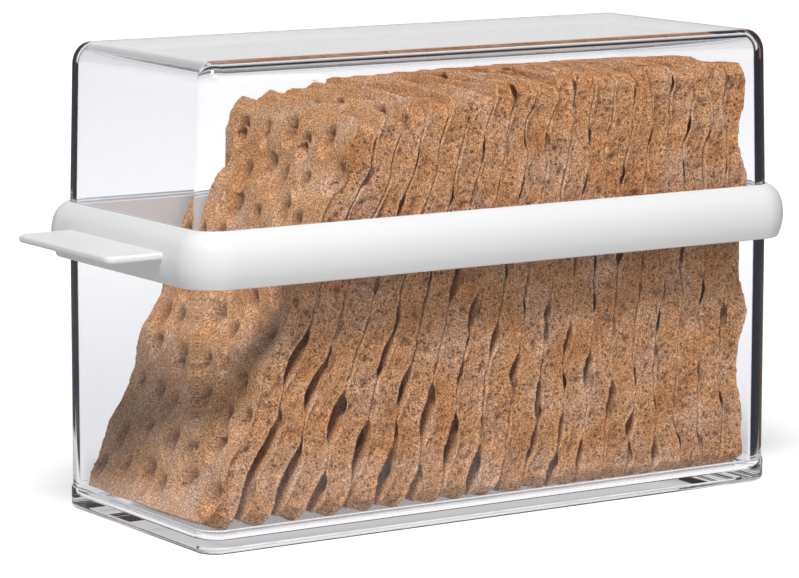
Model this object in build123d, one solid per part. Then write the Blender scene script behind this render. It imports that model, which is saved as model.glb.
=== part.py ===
from build123d import *
import os
from math import atan2, cos, degrees, pi, sin, sqrt

# A clear keeper for crispbread: a clear tub, and a lid made of a white ring with a lifting tab, a clear
# cover standing in the ring's groove, and a soft seal under the ring that rests on the tub's rim.
# The slices of crispbread stand in it on end and lean on one another.
# Millimetres, +Z up, the long front side at -Y, the tab at -X.
# The origin is on the table, under the middle of the whole object.

# The bread, which sets the inside of the box
SLICE_LENGTH = 110.3
SLICE_WIDTH = 63.4
SLICE_THICKNESS = 6.6
SLICE_COUNT = 19
SLICE_CLEARANCE = 0.3
SLICE_CORNER = 3.5

# The clear walls
INSIDE_LENGTH = 171.8
SIDE_ROOM = 3.2
HEAD_ROOM = 6.2
TUB_WALL = 2.0
COVER_WALL = 2.0
PLAN_RADIUS = 6.0
COVER_DRAFT = 1.0
COVER_EDGE_RADIUS = 4.8

# The tub's base is a little proud of the walls and stands on a land that runs round a shallow recess
BASE_HEIGHT = 6.5
BASE_PROUD = 0.4
BASE_CHAMFER = 0.3
FOOT_RADIUS = 1.7
FLOOR = 2.2
FLOOR_RADIUS = 2.5
FOOT_RECESS = 1.0
FOOT_LAND = 4.0
RIM_CHAMFER = 0.4

# The lid ring
RING_BOTTOM = 66.6
RING_HEIGHT = 14.3
RING_PROUD = 4.9
BELLY_RISE = 6.1
BELLY_RADIUS = 13.7
SHOULDER_DROP = 4.1
RING_EDGE_RADIUS = 0.7
SKIRT_WALL = 1.5
GROOVE_DEPTH = 3.9
GROOVE_CLEARANCE = 0.15
WEB = 2.0
LIP_DROP = 1.0
PLUG_WALL = 1.6
PLUG_CLEARANCE = 0.4
PLUG_RISE = 1.9
GUIDE_RIB = 1.2
GUIDE_PITCH = 21.0
GUIDE_CLEARANCE = 0.35

# The lifting tab on the ring's left end
TAB_REACH = 15.1
TAB_WIDTH = 48.6
TAB_THICKNESS = 2.0
TAB_TOP = 8.2
TAB_CORNER = 2.6
TAB_EDGE_RADIUS = 0.6

# The seal
SEAL_THICKNESS = 1.2
SEAL_OVERHANG = 0.6

# How the slices stand: room to the end walls, how far the first gap runs over in a height, and how the
# spacing eases from left to right
FIRST_ROOM = 7.6
LAST_ROOM = 4.2
LEAN_RUN = 41.0
LEAN_HEIGHT = 90.0
FLOOR_EASE = 0.22
TOP_EASE = 0.06

# The gaps between slices: two waves over one another, and lens-shaped places where the slices don't touch.
# A turn is how far, in radians, each gap is ahead of the one before it.
SLOW_WAVE = 0.5
SLOW_WAVE_LENGTH = 31.0
SLOW_WAVE_TURN = 1.9
QUICK_WAVE = 0.5
QUICK_WAVE_LENGTH = 19.0
QUICK_WAVE_TURN = 2.6
LENS = 0.6
LENS_PITCH = 25.0
LENS_TURN = 2.2
WAVE_STEPS = 26

# A slice's outline is a little uneven
OUTLINE_WOBBLE = 0.7
SIDE_STEPS = 8
END_STEPS = 4
UNEVEN_TURNS = (2.3, 1.7, 5.3)

# The first slice shows its face, which has the dimples
DIMPLE_MOUTH = 2.6
DIMPLE_BEVEL = 1.2
DIMPLE_DEPTH = 1.3
DIMPLE_SIDES = 8
DIMPLE_PITCH = 10.4
DIMPLE_STRAY = 1.8

# Sizes that follow
body_length = INSIDE_LENGTH + 2 * TUB_WALL
body_width = SLICE_WIDTH + 2 * (SIDE_ROOM + TUB_WALL)
floor_top = FOOT_RECESS + FLOOR
slice_foot = floor_top + SLICE_CLEARANCE
cover_top = slice_foot + SLICE_LENGTH + HEAD_ROOM + COVER_WALL
ring_top = RING_BOTTOM + RING_HEIGHT
groove_floor = ring_top - GROOVE_DEPTH
web_bottom = groove_floor - WEB
rim_top = web_bottom - SEAL_THICKNESS
plug_out = -(TUB_WALL + PLUG_CLEARANCE)
plug_in = plug_out - PLUG_WALL
belly_z = RING_BOTTOM + BELLY_RISE
belly_centre = RING_PROUD - BELLY_RADIUS
foot_proud = belly_centre + sqrt(BELLY_RADIUS**2 - BELLY_RISE**2)
shoulder_z = ring_top - SHOULDER_DROP
shoulder_proud = belly_centre + sqrt(BELLY_RADIUS**2 - (shoulder_z - belly_z) ** 2)
skirt_in = foot_proud - SKIRT_WALL
body_x = TAB_REACH / 2


def plan(inset, radius_cut=None):
    """The box's plan, drawn in from the clear walls' outside by an inset."""
    radius = PLAN_RADIUS - (inset if radius_cut is None else radius_cut)
    return RectangleRounded(body_length - 2 * inset, body_width - 2 * inset, max(radius, 0.5))


def around_box(section):
    """Carry a section, drawn as (distance out from the wall, height), once round the box."""
    half_length = body_length / 2
    half_width = body_width / 2
    corners = [(0, -half_width), (half_length, -half_width), (half_length, half_width), (0, half_width)]
    path = FilletPolyline(*corners, radius=PLAN_RADIUS)
    start = Plane(origin=(0, -half_width, 0), x_dir=(0, -1, 0), z_dir=(-1, 0, 0))
    right_half = sweep(start * section, path=path)
    return right_half + mirror(right_half, about=Plane.YZ)


def tub():
    base = extrude(plan(-BASE_PROUD), BASE_HEIGHT)
    base = fillet(base.edges().group_by(Axis.Z)[0], FOOT_RADIUS)
    base = chamfer(base.edges().group_by(Axis.Z)[-1], BASE_CHAMFER)
    walls = extrude(plan(0), rim_top - FOOT_RADIUS)
    outside = base + Pos(0, 0, FOOT_RADIUS) * walls
    inside = Pos(0, 0, floor_top) * extrude(plan(TUB_WALL), rim_top)
    inside = fillet(inside.edges().group_by(Axis.Z)[0], FLOOR_RADIUS)
    recess = extrude(plan(FOOT_RADIUS + FOOT_LAND, PLAN_RADIUS / 2), FOOT_RECESS)
    shell = outside - inside - recess
    return chamfer(shell.edges().group_by(Axis.Z)[-1], RIM_CHAMFER)


def cover_block(wall, top):
    """A block with the cover's draft, for its outside and, drawn in by the wall, for its inside."""
    draft = degrees(atan2(COVER_DRAFT, cover_top - groove_floor))
    block = Pos(0, 0, groove_floor) * extrude(plan(wall), top - groove_floor, taper=draft)
    edge_radius = min(COVER_EDGE_RADIUS, PLAN_RADIUS - COVER_DRAFT - GROOVE_CLEARANCE) - wall
    return fillet(block.edges().group_by(Axis.Z)[-1], edge_radius)


def cover():
    return cover_block(0, cover_top) - cover_block(COVER_WALL, cover_top - COVER_WALL)


def ring_section():
    """The ring's section: rounded outside, groove for the cover, plug wall inside the tub."""
    groove_in = -(COVER_WALL + GROOVE_CLEARANCE)
    lip_top = ring_top - LIP_DROP
    plug_foot = RING_BOTTOM + PLUG_RISE
    belly = ThreePointArc(
        (foot_proud, RING_BOTTOM), (RING_PROUD, belly_z), (shoulder_proud, shoulder_z)
    )
    shoulder = TangentArc(belly @ 1, (GROOVE_CLEARANCE, ring_top), tangent=belly % 1)
    inner = Polyline(
        (GROOVE_CLEARANCE, ring_top),
        (GROOVE_CLEARANCE, groove_floor),
        (groove_in, groove_floor),
        (groove_in, lip_top),
        (plug_in, lip_top),
        (plug_in, plug_foot),
        (plug_out, plug_foot),
        (plug_out, web_bottom),
        (skirt_in, web_bottom),
        (skirt_in, RING_BOTTOM),
        (foot_proud, RING_BOTTOM),
    )
    section = make_face(belly + shoulder + inner)
    low_corner = section.vertices().sort_by_distance((foot_proud, RING_BOTTOM, 0))[0]
    return fillet(low_corner, RING_EDGE_RADIUS)


def guide_ribs():
    """Upright ribs inside the skirt that keep the ring centred on the tub."""
    height = rim_top - RING_BOTTOM - PLUG_RISE / 2
    reach = skirt_in - GUIDE_CLEARANCE + SKIRT_WALL / 2
    out = GUIDE_CLEARANCE + reach / 2
    z = rim_top - height / 2
    side_count = int((body_length - 4 * PLAN_RADIUS) / GUIDE_PITCH)
    end_count = int((body_width - 4 * PLAN_RADIUS) / GUIDE_PITCH)
    ribs = []
    for i in range(side_count + 1):
        x = (i - side_count / 2) * GUIDE_PITCH
        for side in (-1, 1):
            ribs.append(Pos(x, side * (body_width / 2 + out), z) * Box(GUIDE_RIB, reach, height))
    for i in range(end_count + 1):
        y = (i - end_count / 2) * GUIDE_PITCH
        for side in (-1, 1):
            ribs.append(Pos(side * (body_length / 2 + out), y, z) * Box(reach, GUIDE_RIB, height))
    return ribs


def tab():
    """The flat tab, rooted in the ring's skirt."""
    root = -(body_length / 2 + skirt_in + SKIRT_WALL / 2)
    tip = -(body_length / 2 + RING_PROUD + TAB_REACH)
    top = RING_BOTTOM + TAB_TOP
    plate = Pos((root + tip) / 2, 0, top - TAB_THICKNESS) * extrude(
        Rectangle(root - tip, TAB_WIDTH), TAB_THICKNESS
    )
    corners = plate.edges().filter_by(Axis.Z).group_by(Axis.X)[0]
    plate = fillet(corners, TAB_CORNER)
    rims = plate.faces().sort_by(Axis.Z)[-1].edges() + plate.faces().sort_by(Axis.Z)[0].edges()
    free_rims = [edge for edge in rims if edge.center().X < root - TAB_EDGE_RADIUS]
    return fillet(free_rims, TAB_EDGE_RADIUS)


def lid_ring():
    ring = around_box(ring_section())
    return ring + guide_ribs() + tab()


def lid_seal():
    width = SEAL_OVERHANG - plug_out
    middle = (SEAL_OVERHANG + plug_out) / 2
    section = Pos(middle, rim_top + SEAL_THICKNESS / 2) * Rectangle(width, SEAL_THICKNESS)
    return around_box(section)


def ease(share, amount):
    """Run from 0 to 1, a little faster at the start."""
    return share + amount * share * (1 - share)


def uneven(*counts):
    """A share from -1 to 1 that looks random, and is always the same for the same counts."""
    return sin(sum(turn * count for turn, count in zip(UNEVEN_TURNS, counts)))


def parting(number, z):
    """Where the gap to the right of a slice runs at a height, and half its width there."""
    share = (number - 1) / (SLICE_COUNT - 1)
    first = -INSIDE_LENGTH / 2 + FIRST_ROOM
    last = INSIDE_LENGTH / 2 - LAST_ROOM
    at_floor = first + (last - first) * ease(share, FLOOR_EASE)
    first_lean = first + LEAN_RUN
    at_top = first_lean + (last - first_lean) * ease(share, TOP_EASE)
    x = at_floor + (at_top - at_floor) * (z - slice_foot) / LEAN_HEIGHT
    if number < 1:
        return x - SLICE_THICKNESS, 0
    x += SLOW_WAVE * sin(2 * pi * z / SLOW_WAVE_LENGTH + SLOW_WAVE_TURN * number)
    x += QUICK_WAVE * sin(2 * pi * z / QUICK_WAVE_LENGTH + QUICK_WAVE_TURN * number)
    swell = max(0, sin(2 * pi * z / LENS_PITCH + LENS_TURN * number)) ** 2
    return x, SLICE_CLEARANCE / 2 + LENS * swell


def slice_sides(number, z):
    """Where a slice's left and right faces are at a height."""
    right_gap, right_half = parting(number, z)
    left_gap, left_half = parting(number - 1, z)
    right = right_gap - right_half
    return max(left_gap + left_half, right - SLICE_THICKNESS / cos(lean(number))), right


def slice_profile(number):
    """The slice seen from the long side: wavy on both faces, between the gaps on its two sides."""
    low = slice_foot - SLICE_CORNER
    high = slice_foot + SLICE_LENGTH + HEAD_ROOM
    heights = [low + (high - low) * step / WAVE_STEPS for step in range(WAVE_STEPS + 1)]
    left = [(slice_sides(number, z)[0], z) for z in heights]
    right = [(slice_sides(number, z)[1], z) for z in heights]
    return make_face(Polyline(*right, *reversed(left), close=True))


def lean(number):
    """How far a slice leans from upright, in radians."""
    low = parting(number, slice_foot)[0]
    high = parting(number, slice_foot + LEAN_HEIGHT)[0]
    return atan2(high - low, LEAN_HEIGHT)


def facing(number):
    """The direction that a slice's left face looks in."""
    return (-cos(lean(number)), 0, sin(lean(number)))


def slice_outline(number):
    """The slice seen square on: a rectangle with soft corners and a slightly uneven edge."""
    half = SLICE_WIDTH / 2
    straight = SLICE_LENGTH - 2 * SLICE_CORNER
    right, top, left = [], [], []
    for step in range(SIDE_STEPS + 1):
        s = SLICE_CORNER + straight * step / SIDE_STEPS
        right.append((half - OUTLINE_WOBBLE * (1 - uneven(step, number)), s))
        left.append((-half + OUTLINE_WOBBLE * (1 - uneven(step, -number)), s))
    for step in range(END_STEPS + 1):
        y = (half - SLICE_CORNER) * (1 - 2 * step / END_STEPS)
        top.append((y, SLICE_LENGTH - OUTLINE_WOBBLE * (1 + uneven(step, number, 1))))
    foot = [(-half + SLICE_CORNER, 0), (half - SLICE_CORNER, 0)]
    return make_face(Polyline(*right, *top, *reversed(left), *foot, close=True))


def dimples(number):
    """Uneven staggered rows of tapered hollows over the slice's left face."""
    angle = lean(number)
    hollow = extrude(RegularPolygon(DIMPLE_MOUTH, DIMPLE_SIDES), 2 * DIMPLE_DEPTH)
    hollow = Pos(0, 0, -DIMPLE_DEPTH) * chamfer(hollow.edges().group_by(Axis.Z)[0], DIMPLE_BEVEL)
    rows = int((SLICE_LENGTH - DIMPLE_PITCH) / DIMPLE_PITCH)
    columns = int((SLICE_WIDTH - DIMPLE_PITCH) / DIMPLE_PITCH)
    hollows = []
    for row in range(rows + 1):
        s = SLICE_LENGTH / 2 + (row - rows / 2) * DIMPLE_PITCH
        for column in range(columns + 1 - row % 2):
            y = (column - (columns - row % 2) / 2) * DIMPLE_PITCH
            y += DIMPLE_STRAY * uneven(row, column, 1)
            z = slice_foot + (s + DIMPLE_STRAY * uneven(column, row)) * cos(angle)
            x = slice_sides(number, z)[0]
            seat = Plane(origin=(x, y, z), x_dir=(0, -1, 0), z_dir=facing(number))
            hollows.append(seat * hollow)
    return hollows


def crispbread(number):
    """One slice, standing on its lower right edge and leaning to the right."""
    depth = 3 * SLICE_THICKNESS
    x, half_gap = parting(number, slice_foot)
    stand = Plane(origin=(x - half_gap, 0, slice_foot), x_dir=(0, -1, 0), z_dir=facing(number))
    profile = Plane.XZ * slice_profile(number)
    slab = extrude(profile, SLICE_WIDTH, both=True)
    block = extrude(stand * slice_outline(number), depth, both=True)
    slice_body = slab & block
    return slice_body - dimples(number) if number == 1 else slice_body


parts = {"tub": tub(), "cover": cover(), "lid_ring": lid_ring(), "lid_seal": lid_seal()}
for number in range(1, SLICE_COUNT + 1):
    parts[f"crispbread_{number:02d}"] = crispbread(number)

os.makedirs("parts", exist_ok=True)
for name, shape in parts.items():
    export_step(Pos(body_x, 0, 0) * shape, f"parts/{name}.step")
print(f"{len(parts)} nodes, first slice leans {degrees(lean(1)):.1f} degrees")
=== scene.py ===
# %% [markdown]
# # A clear keeper full of crispbread
# This lesson dresses a keeper for crispbread: a clear tub, a clear cover, a white ring between them with a
# lifting tab, a soft seal under the ring, and nineteen slices of crispbread that stand inside.
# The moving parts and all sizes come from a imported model. The pieces made here take its place for the eye.

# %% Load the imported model
import itertools
import math

import bpy
import numpy as np
from mathutils import Matrix, Vector


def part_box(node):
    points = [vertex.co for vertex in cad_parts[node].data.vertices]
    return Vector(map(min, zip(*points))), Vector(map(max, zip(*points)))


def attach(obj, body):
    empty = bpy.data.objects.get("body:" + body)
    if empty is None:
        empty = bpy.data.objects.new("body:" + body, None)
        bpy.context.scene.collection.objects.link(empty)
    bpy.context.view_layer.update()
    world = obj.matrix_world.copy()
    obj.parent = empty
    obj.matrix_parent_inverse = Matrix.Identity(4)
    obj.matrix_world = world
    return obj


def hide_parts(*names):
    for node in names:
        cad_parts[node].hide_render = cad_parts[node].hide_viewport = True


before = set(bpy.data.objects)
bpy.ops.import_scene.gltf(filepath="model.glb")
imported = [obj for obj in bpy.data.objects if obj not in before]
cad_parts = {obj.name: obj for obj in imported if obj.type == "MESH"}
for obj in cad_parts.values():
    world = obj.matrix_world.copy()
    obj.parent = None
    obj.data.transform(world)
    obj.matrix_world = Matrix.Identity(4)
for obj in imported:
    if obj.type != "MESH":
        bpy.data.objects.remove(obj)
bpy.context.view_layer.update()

# %% [markdown]
# ## The camera
# The keeper is seen from its tab end, a little from above, with a long lens from about a metre away, so its
# upright edges stay almost parallel. The camera is made first, because it decides which details matter.

# %% Set up the camera
CAMERA_PLACE = Vector((-0.55101, -0.84907, 0.21285))
CAMERA_TURN = math.radians(-32.98)
CAMERA_DROP = math.radians(8.84)
CAMERA_ROLL = math.radians(0.05)
CAMERA_LENS = 175.5
CAMERA_SIGHT = 50

camera = bpy.data.objects.new("camera", bpy.data.cameras.new("camera"))
bpy.context.scene.collection.objects.link(camera)
bpy.context.scene.camera = camera
camera.data.lens = CAMERA_LENS
camera.data.clip_end = CAMERA_SIGHT
camera.matrix_world = (
    Matrix.Translation(CAMERA_PLACE)
    @ Matrix.Rotation(CAMERA_TURN, 4, "Z")
    @ Matrix.Rotation(math.radians(90) - CAMERA_DROP, 4, "X")
    @ Matrix.Rotation(CAMERA_ROLL, 4, "Z")
)
bpy.context.scene.view_settings.view_transform = "Standard"
print("camera looks along", tuple(round(x, 3) for x in -camera.matrix_world.col[2].xyz))

# %% [markdown]
# ## Sizes
# The clear walls stand on a rounded rectangle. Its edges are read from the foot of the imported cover, so
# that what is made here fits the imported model. All other sizes are in millimetres, and MM turns them into
# metres.

# %% Read the plan of the clear walls
MM = 0.001
WELD = MM / 1000
TOUCH = MM / 100
tub_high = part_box("tub")[1]
cover_low, cover_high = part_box("cover")
ring_low, ring_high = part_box("lid_ring")
middle_x = (cover_low.x + cover_high.x) / 2
half_length = (cover_high.x - cover_low.x) / 2
half_width = (cover_high.y - cover_low.y) / 2
PLAN_RADIUS = 6.0 * MM
CORNER_STEPS = 16
print("walls", round(2 * half_length / MM, 2), "x", round(2 * half_width / MM, 2), "mm")

# %% [markdown]
# ## Drawing a section and carrying it round
# The tub, the cover, the ring and the seal are all sections carried round the same plan. Each section is
# drawn as by hand: a start point is extruded from corner to corner. A quarter of the round is enough: the
# section is extruded to the corner, spun through a right angle and extruded to the middle of the end. Two
# mirrors give the rest. This keeps every wall at its true thickness round the corners, which scaling a
# rectangle would not.

# %% Draw a section
def arc(centre, radius, start, end, steps=8, rise=None):
    """Points on an arc in (distance out from the wall, height), from one angle to another in degrees."""
    rise = radius if rise is None else rise
    angles = [math.radians(start + (end - start) * i / steps) for i in range(steps + 1)]
    return [(centre[0] + radius * math.cos(a), centre[1] + rise * math.sin(a)) for a in angles]


def start_edit(piece):
    """Select one piece alone and edit it."""
    bpy.ops.object.select_all(action="DESELECT")
    piece.select_set(True)
    bpy.context.view_layer.objects.active = piece
    bpy.ops.object.mode_set(mode="EDIT")


def draw_section(name, points, closed):
    """A new piece with its section standing on the middle of the near wall."""
    bpy.ops.object.select_all(action="DESELECT")
    bpy.ops.mesh.primitive_plane_add(size=MM, location=(middle_x, 0, 0))
    piece = bpy.context.object
    piece.name = name
    bpy.ops.object.mode_set(mode="EDIT")
    bpy.ops.mesh.select_mode(type="VERT")
    bpy.ops.mesh.merge(type="CENTER")
    out, height = points[0]
    bpy.ops.transform.translate(value=(0, -half_width - out * MM, height * MM))
    for (out_a, height_a), (out_b, height_b) in itertools.pairwise(points):
        step = (0, (out_a - out_b) * MM, (height_b - height_a) * MM)
        bpy.ops.mesh.extrude_vertices_move(TRANSFORM_OT_translate={"value": step})
    bpy.ops.mesh.select_all(action="SELECT")
    if closed:
        bpy.ops.mesh.remove_doubles(threshold=WELD)
    return piece


# %% Carry a section round the plan
def carry_round(piece, corner=PLAN_RADIUS):
    """Extrude and spin the section through a quarter of the plan, then mirror it twice."""
    bpy.ops.mesh.select_all(action="SELECT")
    along = half_length - corner
    across = half_width - corner
    bpy.ops.mesh.extrude_region_move(TRANSFORM_OT_translate={"value": (along, 0, 0)})
    centre = (middle_x + along, -across, 0)
    bpy.ops.mesh.spin(steps=CORNER_STEPS, angle=math.radians(-90), center=centre, axis=(0, 0, 1))
    bpy.ops.mesh.extrude_region_move(TRANSFORM_OT_translate={"value": (0, across, 0)})
    bpy.ops.object.mode_set(mode="OBJECT")
    mirror = piece.modifiers.new("quarters", "MIRROR")
    mirror.use_axis = (True, True, False)
    mirror.merge_threshold = TOUCH
    bpy.ops.object.modifier_apply(modifier=mirror.name)


# %% [markdown]
# ## Walls of two skins
# On a clear box the corners inside are seen as well as those outside, and the two need not share a centre.
# So a clear wall is made of two skins, each with its own corner radius, that are bridged at the rim. One
# closed section would be simpler, but it would tie the inner corner to the outer one.

# %% Make a wall of two skins
def select_rims(piece, height):
    """Select the open rims that lie at a height."""
    bpy.ops.mesh.select_mode(type="EDGE")
    bpy.ops.mesh.select_all(action="DESELECT")
    bpy.ops.object.mode_set(mode="OBJECT")
    level = [abs(v.co.z - height * MM) < TOUCH for v in piece.data.vertices]
    uses = {}
    for face in piece.data.polygons:
        for key in face.edge_keys:
            uses[key] = uses.get(key, 0) + 1
    for edge in piece.data.edges:
        rim = uses.get(edge.key, 0) == 1
        edge.select = rim and level[edge.vertices[0]] and level[edge.vertices[1]]
    bpy.ops.object.mode_set(mode="EDIT")


def double_shell(name, outside, inside, inside_corner, meeting):
    """A wall of two skins, each with its own corners, joined where both reach the meeting height."""
    inner = draw_section("inner skin", inside, closed=False)
    carry_round(inner, inside_corner)
    outer = draw_section(name, outside, closed=False)
    carry_round(outer)
    inner.select_set(True)
    outer.select_set(True)
    bpy.context.view_layer.objects.active = outer
    bpy.ops.object.join()
    bpy.ops.object.mode_set(mode="EDIT")
    select_rims(outer, meeting)
    bpy.ops.mesh.bridge_edge_loops()
    return outer


# %% Finish a shape
SMOOTH_ANGLE = math.radians(30)


def finish_shape(piece, edge_round=0.0):
    """Weld, turn the faces outwards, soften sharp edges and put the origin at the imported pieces' place."""
    bpy.ops.mesh.select_all(action="SELECT")
    bpy.ops.mesh.remove_doubles(threshold=WELD)
    bpy.ops.mesh.normals_make_consistent(inside=False)
    bpy.ops.object.mode_set(mode="OBJECT")
    bpy.ops.object.transform_apply(location=True, rotation=True, scale=True)
    if edge_round:
        bevel = piece.modifiers.new("soft edges", "BEVEL")
        bevel.width = edge_round * MM
        bevel.segments = 3
        bevel.angle_limit = SMOOTH_ANGLE
        bpy.ops.object.modifier_apply(modifier=bevel.name)
    bpy.ops.object.shade_smooth_by_angle(angle=SMOOTH_ANGLE)
    weigh = piece.modifiers.new("flat walls stay flat", "WEIGHTED_NORMAL")
    weigh.keep_sharp = True
    bpy.ops.object.modifier_apply(modifier=weigh.name)
    low = [round(min(v.co[i] for v in piece.data.vertices) / MM, 2) for i in range(3)]
    high = [round(max(v.co[i] for v in piece.data.vertices) / MM, 2) for i in range(3)]
    print(piece.name, len(piece.data.polygons), "faces, from", low, "to", high, "mm")


# %% [markdown]
# ## The tub
# The tub is moulded in clear plastic with walls two millimetres thick and a base that stands a little proud
# of them. It could be a bevelled box with a second box cut out, but a section for each skin, from the rim
# down to the floor inside and down to the foot outside, gives clean rows of faces, and clear plastic shows
# every uneven normal. Near its rim the wall steps back a little inside, which leaves room for the ring's
# plug wall in the corners.

# %% Model the tub
WALL = 2.0
BASE_HEIGHT = 6.5
BASE_PROUD = 0.4
BASE_STEP = 0.5
FOOT_RADIUS = 1.7
INNER_PLAN_RADIUS = 5.4
RELIEF = 0.35
TUB_RELIEF_HEIGHT = 6.2
INNER_FOOT_RADIUS = 2.5
FLOOR_TOP = 3.2
RIM_ROUND = 0.5
FOOT_LAND = 4.0
FOOT_RECESS = 1.0
rim_top = tub_high.z / MM

inner_foot = (-WALL - INNER_FOOT_RADIUS, FLOOR_TOP + INNER_FOOT_RADIUS)
relief_foot = rim_top - TUB_RELIEF_HEIGHT
tub_inside = arc(inner_foot, INNER_FOOT_RADIUS, -90, 0, 10)
tub_inside += [(-WALL, relief_foot - RELIEF), (-WALL + RELIEF, relief_foot)]
tub_inside += arc((-WALL + RELIEF + RIM_ROUND, rim_top - RIM_ROUND), RIM_ROUND, 180, 90, 4)
tub_outside = arc((-RIM_ROUND, rim_top - RIM_ROUND), RIM_ROUND, 90, 0, 4)
tub_outside += arc((BASE_PROUD, BASE_HEIGHT), BASE_PROUD, 180, 270, 6, rise=BASE_STEP)
tub_outside += arc((BASE_PROUD - FOOT_RADIUS, FOOT_RADIUS), FOOT_RADIUS, 0, -90, 14)

# %% Carry the tub's section round and close its base
tub = double_shell("tub_shell", tub_outside, tub_inside, (WALL + INNER_PLAN_RADIUS) * MM, rim_top)
select_rims(tub, FLOOR_TOP)
bpy.ops.mesh.edge_face_add()
select_rims(tub, 0)
bpy.ops.mesh.extrude_region_move()
foot_inset = (FOOT_RADIUS - BASE_PROUD) * MM
foot_half = Vector((half_length - foot_inset, half_width - foot_inset))
land = (FOOT_LAND + BASE_PROUD) * MM
shrink = (1 - land / foot_half.x, 1 - land / foot_half.y, 1)
bpy.ops.transform.resize(value=shrink, center_override=(middle_x, 0, 0))
recess = (0, 0, FOOT_RECESS * MM)
bpy.ops.mesh.extrude_region_move(TRANSFORM_OT_translate={"value": recess})
bpy.ops.mesh.edge_face_add()
finish_shape(tub)

# %% [markdown]
# ## The cover
# The cover is the same plastic turned upside down, with the same small step inside at its foot. Its walls
# draw in a little towards the top, so that it leaves its mould, and its top edges are rounder outside than
# inside, so that they bend what lies behind them into thin lines.

# %% Model the cover
COVER_DRAFT = 1.0
TOP_ROUND_IN = 4.8
TOP_ROUND_DOWN = 6.0
INNER_ROUND = 3.8
INNER_ROUND_DOWN = 4.0
COVER_INNER_RADIUS = 4.1
COVER_RELIEF_HEIGHT = 3.2
cover_foot = cover_low.z / MM
cover_top = cover_high.z / MM

inner_draft = COVER_DRAFT * (cover_top - WALL - cover_foot) / (cover_top - cover_foot)
inner_centre = (-WALL - inner_draft - INNER_ROUND, cover_top - WALL - INNER_ROUND_DOWN)
outer_centre = (-COVER_DRAFT - TOP_ROUND_IN, cover_top - TOP_ROUND_DOWN)
cover_inside = arc(inner_centre, INNER_ROUND, 90, 0, 14, rise=INNER_ROUND_DOWN)
relief_top = cover_foot + COVER_RELIEF_HEIGHT
cover_inside += [(-WALL, relief_top + RELIEF), (-WALL + RELIEF, relief_top)]
cover_inside += arc((-WALL + RELIEF + RIM_ROUND, cover_foot + RIM_ROUND), RIM_ROUND, 180, 270, 4)
cover_outside = arc((-RIM_ROUND, cover_foot + RIM_ROUND), RIM_ROUND, -90, 0, 4)
cover_outside += arc(outer_centre, TOP_ROUND_IN, 0, 90, 16, rise=TOP_ROUND_DOWN)
inside_corner = (WALL + inner_draft + COVER_INNER_RADIUS) * MM
cover = double_shell("cover_shell", cover_outside, cover_inside, inside_corner, cover_foot)
for height in (cover_top, cover_top - WALL):
    select_rims(cover, height)
    bpy.ops.mesh.edge_face_add()
finish_shape(cover)

# %% [markdown]
# ## The ring
# The ring holds the two clear halves together. Outside it swells like a soft cushion and has a crisp
# shoulder at its top. Inside it has a groove for the cover's foot, a wall that plugs into the tub, and thin
# ribs that keep it centred. The section carries all but the ribs and the tab, which are joined to it
# afterwards.

# %% Sizes of the ring
RING_PROUD = 4.9
BELLY_RADIUS = 13.7
BELLY_RISE = 6.1
SHOULDER_DROP = 4.1
FOOT_EDGE = 0.7
SKIRT_WALL = 1.5
GROOVE_CLEARANCE = 0.15
WEB = 2.0
LIP_DROP = 1.0
PLUG_OUT = -2.4
PLUG_IN = -4.0
PLUG_RISE = 1.9
RING_EDGES = 0.25
ring_foot = ring_low.z / MM
ring_top = ring_high.z / MM
print("ring", round(ring_top - ring_foot, 2), "mm high")


# %% Model the ring
def belly_angle(height):
    """Where a height lies on the belly's arc, in degrees."""
    return math.degrees(math.asin((height - belly[1]) / BELLY_RADIUS))


def belly_out(height):
    """How far the belly reaches out from the wall at a height."""
    return belly[0] + BELLY_RADIUS * math.cos(math.radians(belly_angle(height)))


belly = (RING_PROUD - BELLY_RADIUS, ring_foot + BELLY_RISE)
shoulder = (belly_out(ring_top - SHOULDER_DROP), ring_top - SHOULDER_DROP)
lip = (GROOVE_CLEARANCE, ring_top)
towards = Vector(belly) - Vector(shoulder)
run = Vector(lip) - Vector(shoulder)
shoulder_radius = run.length_squared / (2 * run.dot(towards.normalized()))
shoulder_centre = Vector(shoulder) + towards.normalized() * shoulder_radius
to_lip = Vector(lip) - shoulder_centre
skirt_in = belly_out(ring_foot) - SKIRT_WALL
foot_centre = (belly_out(ring_foot + FOOT_EDGE) - FOOT_EDGE, ring_foot + FOOT_EDGE)
ring_section = (
    [lip]
    + [(GROOVE_CLEARANCE, cover_foot), (-WALL - GROOVE_CLEARANCE, cover_foot)]
    + [(-WALL - GROOVE_CLEARANCE, ring_top - LIP_DROP), (PLUG_IN, ring_top - LIP_DROP)]
    + [(PLUG_IN, ring_foot + PLUG_RISE), (PLUG_OUT, ring_foot + PLUG_RISE)]
    + [(PLUG_OUT, cover_foot - WEB), (skirt_in, cover_foot - WEB), (skirt_in, ring_foot)]
    + arc(foot_centre, FOOT_EDGE, -90, 0, 5)
    + arc(belly, BELLY_RADIUS, belly_angle(ring_foot + FOOT_EDGE), belly_angle(shoulder[1]), 10)[1:]
    + arc(
        shoulder_centre,
        shoulder_radius,
        belly_angle(shoulder[1]),
        math.degrees(math.atan2(to_lip.y, to_lip.x)),
        10,
    )[1:]
)
ring = draw_section("ring_shell", ring_section, closed=True)
carry_round(ring)
start_edit(ring)
finish_shape(ring, edge_round=RING_EDGES)

# %% [markdown]
# ## Ribs and tab
# Ribs and tab grow out of the ring in one piece of plastic. Each starts as a box and is then united with
# the ring by a boolean modifier, so that no face is left inside the plastic. The tab's edges are rounded
# first, and its two free corners more than its rims, as a finger expects.

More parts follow.
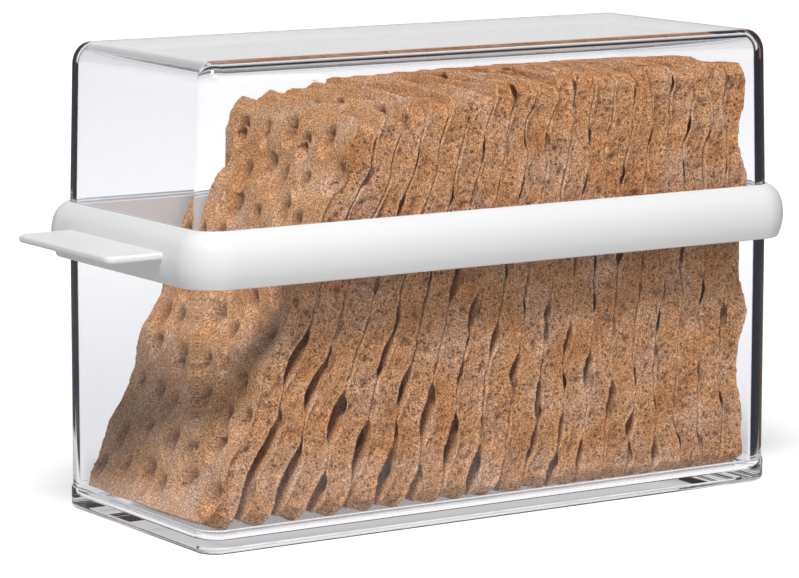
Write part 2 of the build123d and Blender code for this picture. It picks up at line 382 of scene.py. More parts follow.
# %% Helpers for blocks of plastic
def block(name, low, high):
    """A box between two corners given in millimetres, left in edit mode."""
    bpy.ops.object.select_all(action="DESELECT")
    size = [(b - a) * MM for a, b in zip(low, high)]
    centre = [(b + a) * MM / 2 for a, b in zip(low, high)]
    bpy.ops.mesh.primitive_cube_add(size=1, location=centre, scale=size)
    piece = bpy.context.object
    piece.name = name
    bpy.ops.object.transform_apply(location=True, rotation=True, scale=True)
    bpy.ops.object.mode_set(mode="EDIT")
    return piece


def select_edges(piece, wanted):
    """Select the edges for which wanted(end, end, direction) is true."""
    bpy.ops.object.mode_set(mode="OBJECT")
    bpy.ops.object.mode_set(mode="EDIT")
    bpy.ops.mesh.select_mode(type="EDGE")
    bpy.ops.mesh.select_all(action="DESELECT")
    bpy.ops.object.mode_set(mode="OBJECT")
    points = piece.data.vertices
    for edge in piece.data.edges:
        a, b = (points[i].co for i in edge.vertices)
        edge.select = wanted(a, b, (b - a).normalized())
    bpy.ops.object.mode_set(mode="EDIT")


def unite(piece, addition):
    """Join a second piece to the first as one solid, and remove the second."""
    bpy.ops.object.mode_set(mode="OBJECT")
    bpy.ops.object.select_all(action="DESELECT")
    bpy.context.view_layer.objects.active = piece
    piece.select_set(True)
    join = piece.modifiers.new("unite", "BOOLEAN")
    join.operation = "UNION"
    join.solver = "EXACT"
    join.object = addition
    bpy.ops.object.modifier_apply(modifier=join.name)
    bpy.data.objects.remove(addition)


# %% Join the tab to the ring
TAB_WIDTH = 48.6
TAB_THICKNESS = 2.0
TAB_TOP = 8.2
TAB_CORNER = 2.6
TAB_RIM = 0.75
tab_tip = ring_low.x / MM
tab_root = cover_low.x / MM - skirt_in - SKIRT_WALL / 2
tab_top = ring_foot + TAB_TOP
tab = block(
    "tab",
    (tab_tip, -TAB_WIDTH / 2, tab_top - TAB_THICKNESS),
    (tab_root, TAB_WIDTH / 2, tab_top),
)
tip_line = tab_tip * MM + TOUCH
select_edges(tab, lambda a, b, way: abs(way.z) > 0.9 and a.x < tip_line)
bpy.ops.mesh.bevel(offset=TAB_CORNER * MM, segments=8)
inner_line = (tab_root - TAB_RIM) * MM
select_edges(tab, lambda a, b, way: abs(way.z) < 0.1 and min(a.x, b.x) < inner_line)
bpy.ops.mesh.bevel(offset=TAB_RIM * MM, segments=5)
unite(ring, tab)
print("tab reaches", round((ring_low.x - cover_low.x) / -MM, 2), "mm past the clear walls")

# %% Join the ribs to the ring
GUIDE_RIB = 1.2
GUIDE_PITCH = 21.0
GUIDE_CLEARANCE = 0.35
rib_foot = ring_foot + PLUG_RISE / 2
rib_reach = (GUIDE_CLEARANCE, skirt_in + SKIRT_WALL / 2)
rib_count = 0
for half, run in ((half_length, half_width), (half_width, half_length)):
    count = int(2 * (run - 2 * PLAN_RADIUS) / (GUIDE_PITCH * MM))
    for side, i in itertools.product((-1, 1), range(count + 1)):
        place = (i - count / 2) * GUIDE_PITCH
        depth = sorted(side * (half / MM + r) for r in rib_reach)
        width = (place - GUIDE_RIB / 2, place + GUIDE_RIB / 2)
        xs, ys = (depth, width) if half == half_length else (width, depth)
        xs = [x + middle_x / MM for x in xs]
        unite(ring, block("rib", (xs[0], ys[0], rib_foot), (xs[1], ys[1], rim_top)))
        rib_count += 1
start_edit(ring)
finish_shape(ring)
print(rib_count, "ribs and a tab joined to the ring")

# %% [markdown]
# ## The seal
# A flat band of soft rubber lies under the ring's web and rests on the tub's rim. It hardly shows, but it
# closes the line between the two, so it is made with the same tools: a small rounded section carried round.

# %% Model the seal
SEAL_ROUND = 0.3
seal_low, seal_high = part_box("lid_seal")
seal_out = (cover_low.x - seal_low.x) / MM - SEAL_ROUND
seal_foot = seal_low.z / MM + SEAL_ROUND
seal_head = seal_high.z / MM - SEAL_ROUND
seal_in = PLUG_OUT + SEAL_ROUND
seal_section = (
    arc((seal_out, seal_foot), SEAL_ROUND, -90, 0, 3)
    + arc((seal_out, seal_head), SEAL_ROUND, 0, 90, 3)
    + arc((seal_in, seal_head), SEAL_ROUND, 90, 180, 3)
    + arc((seal_in, seal_foot), SEAL_ROUND, 180, 270, 3)
)
seal = draw_section("seal_band", seal_section + seal_section[:1], closed=True)
carry_round(seal)
start_edit(seal)
finish_shape(seal)

# %% [markdown]
# ## The bread
# Crispbread is rolled flat, pricked with rows of hollows, baked and sawn, so its faces are floury and
# dimpled and its cut edges are ragged and full of pores. Each slice starts as a copy of its imported solid,
# which already leans and waves as it should. A voxel remesh gives it a fine even skin, and that skin is
# then pushed inwards, never outwards, so that no slice can run into the next one. Where the skin went in,
# attributes remember it, and the material paints shade into the pores and hollows there.

# %% Repeatable noise for the bread
def shaken(cells, salt):
    """A repeatable number from 0 to 1 for every cell of a grid."""
    mixed = cells[:, 0] * 73856093 ^ cells[:, 1] * 19349663 ^ cells[:, 2] * 83492791 ^ salt * 40503
    mixed = ((mixed ^ (mixed >> 13)) * 1274126177) & 0xFFFFFFFF
    return ((mixed ^ (mixed >> 16)) & 0xFFFF) / 0xFFFF


def clouds(points, size, salt):
    """Soft noise from 0 to 1 with features of a size in millimetres."""
    scaled = points / size
    cell = np.floor(scaled).astype(np.int64)
    part = scaled - cell
    part = part * part * (3 - 2 * part)
    total = np.zeros(len(points))
    for corner in itertools.product((0, 1), repeat=3):
        weight = np.prod(np.where(corner, part, 1 - part), axis=1)
        total += weight * shaken(cell + np.array(corner), salt)
    return total


def seeds(points, size, salt):
    """How far the nearest of many scattered seeds is, in millimetres, and a number that goes with it."""
    scaled = points / size
    cell = np.floor(scaled).astype(np.int64)
    best = np.full(len(points), 9.0)
    number = np.zeros(len(points))
    for step in itertools.product((-1, 0, 1), repeat=3):
        near = cell + np.array(step)
        seed = near + np.stack([shaken(near, salt + k) for k in range(3)], axis=1)
        distance = np.linalg.norm(scaled - seed, axis=1)
        closer = distance < best
        best = np.where(closer, distance, best)
        number = np.where(closer, shaken(near, salt + 7), number)
    return best * size, number


def bowl(distance, radius):
    """1 in the middle of a hollow, 0 at its mouth, with a soft lip."""
    share = np.clip(1 - distance / radius, 0, 1)
    return share * share * (3 - 2 * share)


# %% Give every slice a fine skin
FIRST_VOXEL = 0.5
VOXEL = 0.62
slice_names = sorted(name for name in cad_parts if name.startswith("crispbread"))


def skin_of(name, number):
    """A copy of a packed slice with an even skin of small faces."""
    piece = bpy.data.objects.new(f"bread_{number:02d}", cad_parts[name].data.copy())
    bpy.context.scene.collection.objects.link(piece)
    piece.data.materials.clear()
    start_edit(piece)
    bpy.ops.mesh.select_all(action="SELECT")
    bpy.ops.mesh.remove_doubles(threshold=TOUCH)
    bpy.ops.object.mode_set(mode="OBJECT")
    skin = piece.modifiers.new("skin", "REMESH")
    skin.mode = "VOXEL"
    fine = FIRST_VOXEL if number == 1 else VOXEL
    skin.voxel_size = fine * MM
    bpy.ops.object.modifier_apply(modifier=skin.name)
    return piece


slices = [skin_of(name, number) for number, name in enumerate(slice_names, start=1)]
print(len(slices), "slices,", sum(len(piece.data.polygons) for piece in slices), "faces in all")

# %% [markdown]
# ## Closing the stack
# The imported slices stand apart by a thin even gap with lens-shaped openings. Real slices are not so even:
# they touch in most places. So it is first read how far each slice reaches at every height, which tells how
# far its faces may move up to its neighbours where they are near. Later one slow wave of noise bends the
# whole stack, the same for all slices, so that none can run into the next.

# %% Read how far each slice reaches
HEIGHTS = 130
GAP_KEPT = 0.03
GAP_CLOSED = 1.75


def vectors(layer, name):
    """The vertices' places or normals as rows of three numbers."""
    values = np.empty(len(layer) * 3, np.float32)
    layer.foreach_get(name, values)
    return values.reshape(-1, 3).astype(float)


def reach(points):
    """How far a slice reaches to the left and to the right at each millimetre of height."""
    level = np.round(points[:, 2]).astype(int)
    left = np.full(HEIGHTS, np.inf)
    right = np.full(HEIGHTS, -np.inf)
    np.minimum.at(left, level, points[:, 0])
    np.maximum.at(right, level, points[:, 0])
    return left, right


def closing(right, left):
    """How far two neighbours move towards each other at each height."""
    gap = left - right
    close = np.where(np.isfinite(gap) & (gap < GAP_CLOSED), gap / 2 - GAP_KEPT, 0.0)
    return np.convolve(np.clip(close, 0, None), np.ones(3) / 3, "same")


reaches = [reach(vectors(piece.data.vertices, "co") / MM) for piece in slices]
closings = [closing(a[1], b[0]) for a, b in itertools.pairwise(reaches)]
closings = [np.zeros(HEIGHTS)] + closings + [np.zeros(HEIGHTS)]
print("gaps closed by up to", round(2 * max(close.max() for close in closings), 2), "mm")

# %% [markdown]
# ## Hollows, waves and ragged edges
# Before baking, a roller with pins pricks the dough, so the left face of every slice has staggered rows of
# round hollows. Displacing the skin with an image would need a picture, so the hollows come from a formula
# for each point's distance to its nearest pin. The first slice faces the eye, so its rows are kept in line,
# and on the others they drift from slice to slice.

# %% Rows of pricked hollows
SLICE_LENGTH = 110.3
SLICE_WIDTH = 63.4
DIMPLE_PITCH = 10.4
DIMPLE_STRAY = 1.8
DIMPLE_MOUTH = 3.3
DIMPLE_STRETCH = 0.85
UNEVEN_TURNS = (2.3, 1.7, 5.3)
GOLDEN_SHARE = 0.618


def uneven(*counts):
    """A share from -1 to 1 that looks random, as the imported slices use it."""
    return math.sin(sum(turn * count for turn, count in zip(UNEVEN_TURNS, counts)))


def dimple_hollows(along, across, number):
    """Staggered rows of pricked hollows over a face, 1 at the bottom of each."""
    rows = int((SLICE_LENGTH - DIMPLE_PITCH) / DIMPLE_PITCH)
    columns = int((SLICE_WIDTH - DIMPLE_PITCH) / DIMPLE_PITCH)
    spread = 0 if number == 1 else 1
    drift = spread * DIMPLE_PITCH * (number * GOLDEN_SHARE % 1 - 0.5)
    deepest = np.zeros(len(along))
    for row in range(rows + 1):
        height = SLICE_LENGTH / 2 + (row - rows / 2) * DIMPLE_PITCH + drift / 2
        for column in range(-spread, columns + 1 - row % 2 + spread):
            side = (column - (columns - row % 2) / 2) * DIMPLE_PITCH + drift
            side += DIMPLE_STRAY * uneven(row, column, 1)
            up = height + DIMPLE_STRAY * uneven(column, row)
            radius = DIMPLE_MOUTH * (0.8 + 0.4 * uneven(row, column, number) ** 2)
            away = np.hypot((along - up) * DIMPLE_STRETCH, across - side)
            deepest = np.maximum(deepest, bowl(away, radius))
    return deepest


print("a pin every", DIMPLE_PITCH, "mm")

# %% Find the faces and the sawn edges of a slice
def lie_of(points):
    """The slice seen from the side: each point's place, and the direction in which the slice stands."""
    flat = (points - points.mean(axis=0))[:, [0, 2]]
    lean = np.linalg.eigh(flat.T @ flat)[1][:, 1]
    return flat, lean * np.sign(lean[1])


def sides_of(normals, lean):
    """How much each point belongs to the left face, to the right face and to the sawn edges."""
    face = normals[:, [0, 2]] @ np.array([-lean[1], lean[0]])
    left = np.clip(face * 2 - 0.5, 0, 1)
    right = np.clip(-face * 2 - 0.5, 0, 1)
    return left, right, np.clip(1 - np.abs(face) * 1.4, 0, 1)


# %% How deep the skin goes in
DIMPLE_DEPTH = 2.9
WAVE_SIZE = 7.0
FIRST_WAVES = 0.9
WAVES = 0.25
BACK_WAVES = 0.7
RAGGED = ((3.6, 23, 0.6), (1.7, 31, 0.35))
RAGGED_DEPTH = 0.7
SET_BACK = 0.45
BITE_PITCH = 5.5
BITE_MOUTH = 3.4
FIRST_BITES = 1.3
BITES = 0.7
PORE_PITCH = 2.8
PORE_DEPTH = 0.8
GRAIN_SIZE = 1.1
GRAIN_DEPTH = 0.14


def depths(shifted, across, dimples, sides, number):
    """How far each point is pushed in by hollows, waves, ragged cuts and pores, and the share of pores."""
    left, right, cut = sides
    first = number == 1
    waves = clouds(shifted, WAVE_SIZE, 11)
    inner = 1 if first else np.clip((SLICE_WIDTH / 2 - 1 - np.abs(across)) / 3, 0, 1)
    deep = left * (dimples * DIMPLE_DEPTH + (FIRST_WAVES if first else WAVES) * waves * inner)
    deep += right * BACK_WAVES * np.clip(waves * 2 - 0.9, 0, 1) * inner
    ragged = sum(share * clouds(shifted, size, salt) for size, salt, share in RAGGED)
    deep += cut * (ragged * RAGGED_DEPTH + SET_BACK * (number * GOLDEN_SHARE % 1))
    bites = bowl(seeds(shifted, BITE_PITCH, 83)[0], BITE_MOUTH)
    deep += cut * bites * (FIRST_BITES if first else BITES)
    distance, chance = seeds(shifted, PORE_PITCH, 41)
    pores = bowl(distance, 0.5 + 0.9 * chance) * (0.15 + 0.85 * cut)
    deep += pores * PORE_DEPTH
    deep += GRAIN_DEPTH * clouds(shifted, GRAIN_SIZE, 53)
    return deep, pores


# %% [markdown]
# ## Baking
# Now the skin of each slice is pushed in, its edges are rounded, more in the lower half where the stack
# gapes, and it is closed up to its neighbours. Last comes the slow wave that all slices share. Three
# attributes keep the pores, the hollows and the sawn edges for the material.

# %% Bake the slices
EDGE_ROUND = 1.8
EDGE_SIZE = 6.0
ROUND_HEIGHTS = (60, 85)
ROUND_SHARES = (1.0, 0.5)
BACK_ROUND = 0.6
SAW_INSET = 0.5
MOST_OVER = 1.2
WARP = 2.2
WARP_SIZE = 9.0
WARP_STRETCH = np.array([2.5, 1.6, 1.0])
SLICE_SHIFT = 37.0


def round_off(points, from_face, side, radius):
    """Round the edge between a face and the sawn sides."""
    across = points[:, 1]
    from_saw = SLICE_WIDTH / 2 - SAW_INSET - np.abs(across)
    in_face = np.clip(radius - from_face, 0, None)
    in_saw = np.clip(radius - from_saw, 0, None)
    away = np.hypot(in_face, in_saw)
    over = np.clip(away - radius, 0, MOST_OVER) / np.maximum(away, 0.01)
    points[:, 0] += side * in_face * over
    points[:, 1] -= np.sign(across) * in_saw * over


def between(points, number):
    """How far left and right the slice reaches at each point's height, and how far its faces move there."""
    levels = np.arange(HEIGHTS)
    low, high = reaches[number - 1]
    known = np.isfinite(low) & np.isfinite(high)
    heights = points[:, 2]
    reach_here = [np.interp(heights, levels[known], edge[known]) for edge in (low, high)]
    move_here = [np.interp(heights, levels, closings[i]) for i in (number - 1, number)]
    return reach_here + move_here


def bake(piece, number):
    """Close the slice up to its neighbours, bend it, and push its skin in at dimples, cuts and pores."""
    mesh = piece.data
    points = vectors(mesh.vertices, "co") / MM
    normals = vectors(mesh.vertex_normals, "vector")
    flat, lean = lie_of(points)
    left, right, cut = sides_of(normals, lean)
    along = flat @ lean
    across = points[:, 1].copy()
    shifted = points + np.array([number * SLICE_SHIFT, 0, 0])
    dimples = dimple_hollows(along - along.min(), across, number)
    deep, pores = depths(shifted, across, dimples, (left, right, cut), number)
    moved = points - normals * deep[:, None]

    low, high, to_left, to_right = between(points, number)
    radius = EDGE_ROUND * (0.15 + 1.2 * clouds(shifted, EDGE_SIZE, 61) ** 2)
    radius *= np.interp(points[:, 2], ROUND_HEIGHTS, ROUND_SHARES)
    round_off(moved, (points[:, 0] - low) * lean[1], 1, radius)
    round_off(moved, (high - points[:, 0]) * lean[1], -1, radius * BACK_ROUND)
    share = np.clip((points[:, 0] - low) / np.maximum(high - low, 0.5), 0, 1)
    moved[:, 0] += share * to_right - (1 - share) * to_left
    moved[:, 0] += WARP * (clouds(moved / WARP_STRETCH, WARP_SIZE, 71) - 0.5)

    mesh.vertices.foreach_set("co", (moved * MM).astype(np.float32).ravel())
    # The pores and the pricked hollows are kept so that the material can paint shade into them.
    for name, value in (("hollow", pores), ("dimple_shade", left * dimples), ("sawn", cut)):
        layer = mesh.attributes.new(name, "FLOAT", "POINT")
        layer.data.foreach_set("value", np.clip(value, 0, 1).astype(np.float32))
    mesh.update()


for number, piece in enumerate(slices, start=1):
    bake(piece, number)
    bpy.ops.object.select_all(action="DESELECT")
    piece.select_set(True)
    bpy.context.view_layer.objects.active = piece
    bpy.ops.object.shade_smooth()
print("baked", len(slices), "slices")

# %% [markdown]
# ## Finishes
# Every finish is built from nodes on object coordinates, so it sits still on its piece from any side. A few
# helpers add a node, set its values and wire what feeds it, which keeps each finish short enough to read.

# %% Helpers for nodes
def add(tree, kind, inputs=(), **settings):
    """A node whose inputs are values or other nodes' outputs, by socket name or number."""
    node = tree.nodes.new(kind)
    for key, value in settings.items():
        setattr(node, key, value)
    for key, value in dict(inputs).items():
        if isinstance(value, bpy.types.NodeSocket):
            tree.links.new(value, node.inputs[key])
        else:
            node.inputs[key].default_value = value
    return node


def blank(name):
    """A material with only its output node."""
    material = bpy.data.materials.new(name)
    material.use_nodes = True
    material.node_tree.nodes.clear()
    output = add(material.node_tree, "ShaderNodeOutputMaterial")
    return material, material.node_tree, output


# %% Helpers for sums, ranges and colours
def reckon(tree, operation, first, second):
    """The result of one step of arithmetic, held between 0 and 1."""
    inputs = {0: first, 1: second}
    return add(tree, "ShaderNodeMath", inputs, operation=operation, use_clamp=True).outputs[0]


def stretch(tree, source, span, result):
    """Map a value from one range to another, held at its ends."""
    ends = {"From Min": span[0], "From Max": span[1], "To Min": result[0], "To Max": result[1]}
    return add(tree, "ShaderNodeMapRange", {0: source, **ends}).outputs[0]


def blend(tree, share, first, second, how="MIX"):
    """Two colours mixed or multiplied by a share."""
    inputs = {0: share, 6: first, 7: second}
    return add(tree, "ShaderNodeMix", inputs, data_type="RGBA", blend_type=how).outputs[2]


def ramp(tree, source, stops):
    """Map a value through colours given as (place, colour)."""
    node = add(tree, "ShaderNodeValToRGB", {0: source})
    while len(node.color_ramp.elements) < len(stops):
        node.color_ramp.elements.new(0.5)
    for element, (place, colour) in zip(node.color_ramp.elements, stops):
        element.position = place
        element.color = (*colour, 1)
    return node.outputs[0]


def speckle(tree, place, scale, detail, **more):
    """Noise from 0 to 1 on the piece's own coordinates."""
    inputs = {"Vector": place, "Scale": scale, "Detail": detail, **more}
    return add(tree, "ShaderNodeTexNoise", inputs).outputs[0]


# %% [markdown]
# ## Clear plastic
# The walls bend light as real plastic does, but a lamp can't find its way through bent light in reasonable
# time. So for shadow rays and for light bounced off the bread the wall is simply see-through with a faint
# tint. So it is for light that has been mirrored many times inside a wall, which would otherwise end in
# black. Fine scratches make the surface a touch less than perfect.

# %% Clear plastic
CLEAR_COLOUR = (0.963, 0.967, 0.985, 1)
SHADOW_COLOUR = (0.95, 0.955, 0.97, 1)
CLEAR_IOR = 1.5
SCRATCH_SCALE = 90.0
HAZE = 0.015
MOST_MIRRORED = 3.5


def make_clear_plastic():
    """Glass-like plastic that lets shadow rays and bounced light straight through."""
    material, tree, output = blank("clear plastic finish")
    place = add(tree, "ShaderNodeTexCoord").outputs["Object"]
    haze = stretch(tree, speckle(tree, place, SCRATCH_SCALE, 3.0), (0.45, 0.8), (0.0, HAZE))
    plastic = {
        "Base Color": CLEAR_COLOUR,
        "Roughness": haze,
        "IOR": CLEAR_IOR,
        "Transmission Weight": 1.0,
    }
    body = add(tree, "ShaderNodeBsdfPrincipled", plastic)
    through = add(tree, "ShaderNodeBsdfTransparent", {"Color": SHADOW_COLOUR})
    rays = add(tree, "ShaderNodeLightPath").outputs
    bounced = reckon(tree, "MAXIMUM", rays["Is Shadow Ray"], rays["Is Diffuse Ray"])
    mirrored_on = reckon(tree, "GREATER_THAN", rays["Glossy Depth"], MOST_MIRRORED)
    clear = reckon(tree, "MAXIMUM", bounced, mirrored_on)
    mix = add(tree, "ShaderNodeMixShader", {0: clear, 1: body.outputs[0], 2: through.outputs[0]})
    tree.links.new(mix.outputs[0], output.inputs[0])
    return material


# %% [markdown]
# ## White plastic and rubber
# The ring has the soft satin of a moulded part: a very fine grain in the surface and a roughness that
# wanders a little. The seal is milky silicone rubber, duller and softer.

# %% White plastic and seal rubber
FINE_GRAIN = 2200.0
WANDER_SCALE = 45.0
WANDER = 0.06
GRAIN_STRENGTH = 0.25
MOULD_GRAIN = 0.02 * MM
FAINTLY_DARKER = 0.985


def make_soft_plastic(name, colour, roughness):
    """Opaque plastic or rubber with a fine grain."""
    material, tree, output = blank(name)
    place = add(tree, "ShaderNodeTexCoord").outputs["Object"]
    wander = speckle(tree, place, WANDER_SCALE, 3.0)
    rough = stretch(tree, wander, (0.0, 1.0), (roughness - WANDER, roughness + WANDER))
    darker = [part * FAINTLY_DARKER for part in colour]
    grain = speckle(tree, place, FINE_GRAIN, 2.0)
    surface = {"Strength": GRAIN_STRENGTH, "Distance": MOULD_GRAIN, "Height": grain}
    plastic = {
        "Base Color": ramp(tree, wander, [(0.3, darker), (0.7, colour)]),
        "Roughness": rough,
        "Normal": add(tree, "ShaderNodeBump", surface).outputs[0],
    }
    body = add(tree, "ShaderNodeBsdfPrincipled", plastic)
    tree.links.new(body.outputs[0], output.inputs[0])
    return material


# %% [markdown]
# ## Crispbread
# The crust is a warm tan that drifts between orange and pinkish brown, with fine bran and flour in it. The
# sawn edge is a little deeper in colour and shows the crumb: light grains, and pores darkened with painted
# shade. Where the skin was pushed in, the attributes paint shade into the pores and the pricked hollows.

# %% Colours and grain of the bread
CRUST_SCALE = 90.0
CRUST = [(0.3, (0.60, 0.30, 0.125)), (0.5, (0.65, 0.375, 0.20)), (0.7, (0.68, 0.44, 0.30))]
BRAN_SCALE = 2400.0
BRAN = [(0.37, (0.36, 0.29, 0.24)), (0.5, (0.93, 0.91, 0.88)), (0.63, (1.5, 1.55, 1.6))]
GRIT_SCALE = 2200.0
GRIT = [(0.0, (0.6, 0.5, 0.42)), (0.35, (0.95, 0.93, 0.9)), (1.0, (1.25, 1.25, 1.2))]
GRIT_SHARE = 0.6
SAWN_TONE = [(0.1, (1.08, 1.06, 1.06)), (0.9, (0.96, 0.86, 0.77))]
PORE_SCALE = 620.0
PORE_WIDTHS = (0.12, 0.34)
# Painted shade in the pores: a near black-brown stands in for the shade deep inside them.
PAINTED_PORE_SHADE = (0.17, 0.08, 0.04, 1)
# Painted shade in the pricked hollows: a deep brown stands in for the shade that falls in them.
PAINTED_DIMPLE_SHADE = (0.21, 0.10, 0.052, 1)
DIMPLE_SHADE_SHARE = 0.95


def grain_of(tree, place):
    """The crust's colour with its bran and grit, and the bran alone, which also roughens the surface."""
    crust = ramp(tree, speckle(tree, place, CRUST_SCALE, 2.0), CRUST)
    bran = speckle(tree, place, BRAN_SCALE, 2.0, Roughness=0.8)
    mottled = blend(tree, 1.0, crust, ramp(tree, bran, BRAN), "MULTIPLY")
    crumb = add(tree, "ShaderNodeTexVoronoi", {"Vector": place, "Scale": GRIT_SCALE})
    cell = add(tree, "ShaderNodeSeparateColor", {0: crumb.outputs["Color"]})
    grit = ramp(tree, cell.outputs[0], GRIT)
    return blend(tree, GRIT_SHARE, mottled, grit, "MULTIPLY"), bran


print("crust of", len(CRUST), "tones, darkened by bran and grit")

# %% Crispbread finish
BREAD_BUMP = 0.16 * MM
BUMP_STRENGTH = 0.7
BREAD_ROUGHNESS = 0.85
BREAD_GLOSS = 0.25


def make_bread():
    """Dry bread: crust, bran, and painted shade in the pores of the sawn edges and in the hollows."""
    material, tree, output = blank("bread finish")
    place = add(tree, "ShaderNodeTexCoord").outputs["Object"]
    hollow, sawn, dimple_shade = (
        add(tree, "ShaderNodeAttribute", attribute_name=name).outputs["Fac"]
        for name in ("hollow", "sawn", "dimple_shade")
    )
    gritty, bran = grain_of(tree, place)
    toned = blend(tree, 1.0, gritty, ramp(tree, sawn, SAWN_TONE), "MULTIPLY")
    # Painted shade: the pricked hollows on the left faces are darkened almost to the deep brown of their
    # shade.
    dimple_shaded = blend(tree, reckon(tree, "MULTIPLY", dimple_shade, DIMPLE_SHADE_SHARE), toned, PAINTED_DIMPLE_SHADE)
    # Painted shade: pores drawn in the sawn edges, and those baked into the skin, are darkened as shade
    # would fall in them.
    holes = add(tree, "ShaderNodeTexVoronoi", {"Vector": place, "Scale": PORE_SCALE})
    pore = stretch(tree, holes.outputs["Distance"], PORE_WIDTHS, (1.0, 0.0))
    edge_pore = reckon(tree, "MULTIPLY", pore, sawn)
    pore_shade_share = reckon(tree, "MAXIMUM", edge_pore, hollow)
    relief = add(tree, "ShaderNodeMath", {0: bran, 1: edge_pore}, operation="SUBTRACT").outputs[0]
    surface = {"Strength": BUMP_STRENGTH, "Distance": BREAD_BUMP, "Height": relief}
    crumb = {
        "Base Color": blend(tree, pore_shade_share, dimple_shaded, PAINTED_PORE_SHADE),
        "Roughness": BREAD_ROUGHNESS,
        "Specular IOR Level": BREAD_GLOSS,
        "Normal": add(tree, "ShaderNodeBump", surface).outputs[0],
    }
    body = add(tree, "ShaderNodeBsdfPrincipled", crumb)
    tree.links.new(body.outputs[0], output.inputs[0])
    return material


# %% Give every piece its finish and its body
clear_plastic = make_clear_plastic()
white_plastic = make_soft_plastic("white plastic finish", (0.79, 0.79, 0.795), 0.36)
seal_rubber = make_soft_plastic("seal finish", (0.84, 0.85, 0.85), 0.55)
bread = make_bread()

container = [
    (tub, clear_plastic, "clear_plastic", "tub", "tub"),
    (cover, clear_plastic, "clear_plastic", "lid", "cover"),
    (ring, white_plastic, "white_plastic", "lid", "lid_ring"),
    (seal, seal_rubber, "seal_rubber", "lid", "lid_seal"),
]
fillings = [(piece, bread, "crispbread", "tub", name) for piece, name in zip(slices, slice_names)]
for piece, finish, slot, body, node in container + fillings:
    piece.data.materials.clear()
    piece.data.materials.append(finish)
    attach(piece, body)
    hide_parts(node)
    print(piece.name, "rides on", body, "and stands for", node)

# %% [markdown]
# ## Floor, background and light
# The keeper stands on white paper in soft studio light. The floor and the world are white for the camera
# and for what the plastic bends, greyer for what it mirrors, and plain for what they give the object as
# light. Light that has been both bent and mirrored inside a wall is dark, unless it comes from straight
# behind the keeper or from the paper under it. A studio is dark all round too, and that draws the dark
# lines along the edges of clear plastic.

# %% Tell rays apart
DARK_SIDE = (0.022, 0.022, 0.034, 1)
WHITE = (1, 1, 1, 1)


def background_rays(tree):
    """1 for rays that show the background, for mirrored ones, and for those caught inside the plastic."""
    rays = add(tree, "ShaderNodeLightPath").outputs
    bent = reckon(tree, "GREATER_THAN", rays["Transmission Depth"], 0.5)
    within = reckon(tree, "MULTIPLY", rays["Is Glossy Ray"], bent)
    mirrored = reckon(tree, "SUBTRACT", rays["Is Glossy Ray"], within)
    shown = reckon(tree, "MAXIMUM", rays["Is Camera Ray"], rays["Is Transmission Ray"])
    glossy = reckon(tree, "GREATER_THAN", rays["Glossy Depth"], 0.5)
    return reckon(tree, "MAXIMUM", shown, within), mirrored, reckon(tree, "MULTIPLY", glossy, bent)


# %% Floor
FLOOR_SIZE = 12.0
FLOOR_DROP = 0.2 * MM
PAPER_TONE = (0.55, 0.55, 0.55, 1)
MIRRORED_TONE = (0.3, 0.3, 0.3, 1)
NEAR_GLOW = 0.6
BOUNCE_GLOW = 0.08
WHITE_FROM = (0.13, 0.5)
DARK_FROM = (0.105, 0.13)
bpy.ops.object.select_all(action="DESELECT")
bpy.ops.mesh.primitive_plane_add(size=FLOOR_SIZE, location=(0, 0, -FLOOR_DROP))
floor = bpy.context.object
floor.name = "floor"
paper, tree, output = blank("paper")
shown, mirrored, caught = background_rays(tree)
spot = add(tree, "ShaderNodeTexCoord").outputs["Object"]
away = add(tree, "ShaderNodeVectorMath", {0: spot}, operation="LENGTH").outputs["Value"]
glow = reckon(tree, "MULTIPLY", shown, stretch(tree, away, WHITE_FROM, (NEAR_GLOW, 1.0)))
glow = reckon(tree, "MAXIMUM", glow, BOUNCE_GLOW)
tone = blend(tree, mirrored, PAPER_TONE, MIRRORED_TONE)
diffuse = add(tree, "ShaderNodeBsdfDiffuse", {"Color": tone})
shine = add(tree, "ShaderNodeEmission", {"Color": WHITE, "Strength": glow})
both = add(tree, "ShaderNodeAddShader", {0: diffuse.outputs[0], 1: shine.outputs[0]})
gloom = add(tree, "ShaderNodeEmission", {"Color": DARK_SIDE})
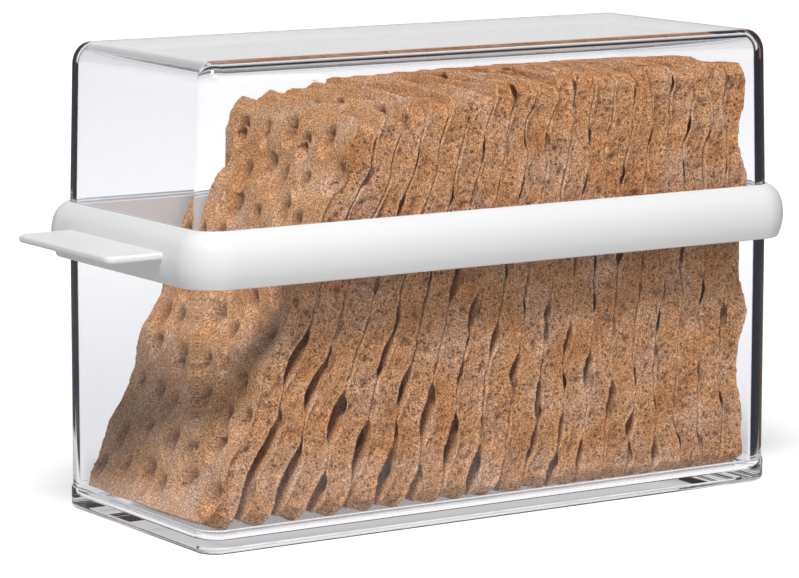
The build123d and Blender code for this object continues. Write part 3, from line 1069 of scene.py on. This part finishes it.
lost = reckon(tree, "MULTIPLY", caught, stretch(tree, away, DARK_FROM, (0.0, 1.0)))
pick = add(tree, "ShaderNodeMixShader", {0: lost, 1: both.outputs[0], 2: gloom.outputs[0]})
tree.links.new(pick.outputs[0], output.inputs[0])
floor.data.materials.append(paper)
print("floor", FLOOR_SIZE, "m across")

# %% World
AMBIENT = 0.17
STRAIGHT_BEHIND = (0.54, 0.84, 0.0)
BACKDROP_EDGE = (0.84, 0.97)
BACKDROP = (0.22, 0.74)
DARK_EDGE = (0.6, 0.92)
world = bpy.data.worlds.new("studio")
bpy.context.scene.world = world
world.use_nodes = True
tree = world.node_tree
tree.nodes.clear()
output = add(tree, "ShaderNodeOutputWorld")
shown, mirrored, caught = background_rays(tree)
way = add(tree, "ShaderNodeTexCoord").outputs["Generated"]
both = {0: way, 1: STRAIGHT_BEHIND}
behind = add(tree, "ShaderNodeVectorMath", both, operation="DOT_PRODUCT").outputs["Value"]
backdrop = stretch(tree, behind, BACKDROP_EDGE, BACKDROP)
plain = stretch(tree, shown, (0.0, 1.0), (AMBIENT, 1.0))
plain = add(tree, "ShaderNodeMix", {0: mirrored, 2: plain, 3: backdrop}).outputs[0]
lost = reckon(tree, "MULTIPLY", caught, stretch(tree, behind, DARK_EDGE, (1.0, 0.0)))
sky = {"Color": blend(tree, lost, WHITE, DARK_SIDE), "Strength": plain}
background = add(tree, "ShaderNodeBackground", sky)
tree.links.new(background.outputs[0], output.inputs[0])
print("world gives", AMBIENT, "of plain light")

# %% Lamps
LAMPS = {
    "key": ((-0.5, -0.65, 1.2), 0.38, 19.0),
    "second": ((0.4, -1.15, 0.6), 0.5, 2.6),
}
aim = Vector((middle_x, 0, 0.06))
for name, (place, size, power) in LAMPS.items():
    lamp = bpy.data.lights.new(name, "AREA")
    lamp.size = size
    lamp.energy = power
    softbox = bpy.data.objects.new(name, lamp)
    bpy.context.scene.collection.objects.link(softbox)
    softbox.location = place
    softbox.rotation_euler = (aim - Vector(place)).to_track_quat("-Z", "Y").to_euler()
    print(name, power, "W")
